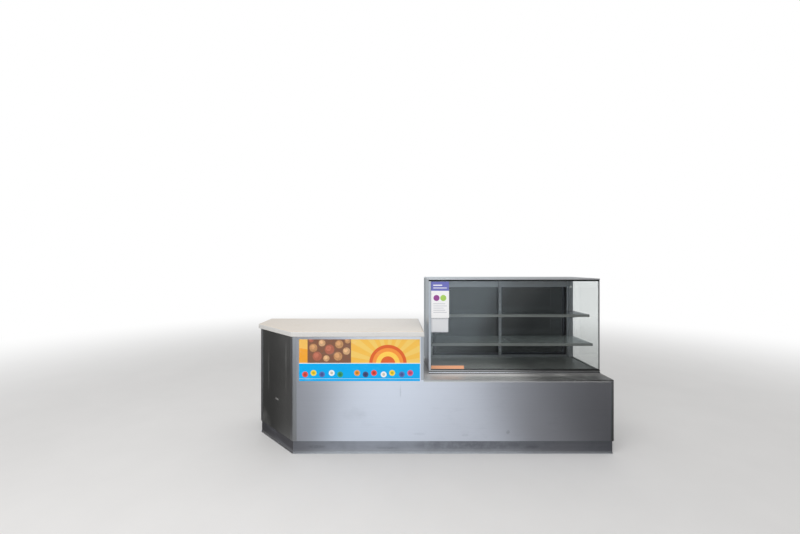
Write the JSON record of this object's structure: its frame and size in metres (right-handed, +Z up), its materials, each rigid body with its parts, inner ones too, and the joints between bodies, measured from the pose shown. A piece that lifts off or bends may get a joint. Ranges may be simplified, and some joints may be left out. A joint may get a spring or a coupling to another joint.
{
  "type": "shop serving counter with glass food display case",
  "caption": "Shop counter with a steel front, a cut corner, a cream worktop and a glass food case with sliding rear doors on a lower deck.",
  "frame": {"origin": "on the floor, under the middle of the counter's whole outline", "axes": "+X to the customer's right along the front, +Y from the customer to the staff, +Z up"},
  "size_m": [2.87, 0.7, 1.34],
  "materials": {
    "plinth_steel": "brushed, scuffed and marked by mops",
    "trim_aluminium": "satin, worn",
    "carcass_board": "white faced board",
    "steel_cladding": "brushed along its length, smudged",
    "deck_steel": "brushed, worn matt by use",
    "worktop_laminate": "cream laminate, satin",
    "trim_steel": "satin",
    "case_steel": "brushed",
    "case_glass": "clear float glass, polished edges",
    "door_glass": "grey tinted float glass",
    "shelf_glass": "clear glass, green at its edges",
    "seal_rubber": "black, matt",
    "track_aluminium": "anodised, satin",
    "door_aluminium": "dark anodised, satin",
    "strip_plastic": "smoked extrusion",
    "printed_sheet": "printed, with a clear film",
    "clear_sealant": "translucent bead"
  },
  "bodies": {
    "root": {"plinth_front": "plinth_steel", "plinth_cut_corner": "plinth_steel", "plinth_sides": "plinth_steel", "plinth_rear": "plinth_steel", "floor_trims": "trim_aluminium", "bottom_board": "carcass_board", "front_board": "carcass_board", "cut_corner_board": "carcass_board", "left_board": "carcass_board", "right_board": "carcass_board", "step_board": "carcass_board", "deck_board": "carcass_board", "deck_divider": "carcass_board", "deck_shelves": "carcass_board", "till_divider": "carcass_board", "till_shelves": "carcass_board", "till_rear_rail": "carcass_board", "front_cladding": "steel_cladding", "cut_corner_cladding": "steel_cladding", "side_cladding": "steel_cladding", "step_cladding": "steel_cladding", "deck_sheet": "deck_steel", "worktop": "worktop_laminate", "corner_trims": "trim_steel", "edge_trims": "trim_steel", "case_base_frame": "case_steel", "case_floor": "deck_steel", "case_left_end": "case_steel", "case_front_channel": "trim_aluminium", "case_front_glass": "case_glass", "case_right_glass": "case_glass", "case_top_seal": "seal_rubber", "case_top": "case_steel", "rear_posts": "case_steel", "rear_bottom_track": "track_aluminium", "rear_top_track": "track_aluminium", "shelf_uprights": "track_aluminium", "shelf_brackets": "track_aluminium", "lower_shelf": "shelf_glass", "upper_shelf": "shelf_glass", "shelf_strips": "strip_plastic"},
    "door_left": {"door_left_frame": "door_aluminium", "door_left_pane": "door_glass"},
    "door_right": {"door_right_frame": "door_aluminium", "door_right_pane": "door_glass"}
  },
  "joints": [
    {"name": "door_left_slide", "type": "slide", "parent": "root", "child": "door_left", "axis": [1, 0, 0], "range_m": [0, 0.595]},
    {"name": "door_right_slide", "type": "slide", "parent": "root", "child": "door_right", "axis": [1, 0, 0], "range_m": [-0.595, 0]}
  ]
}
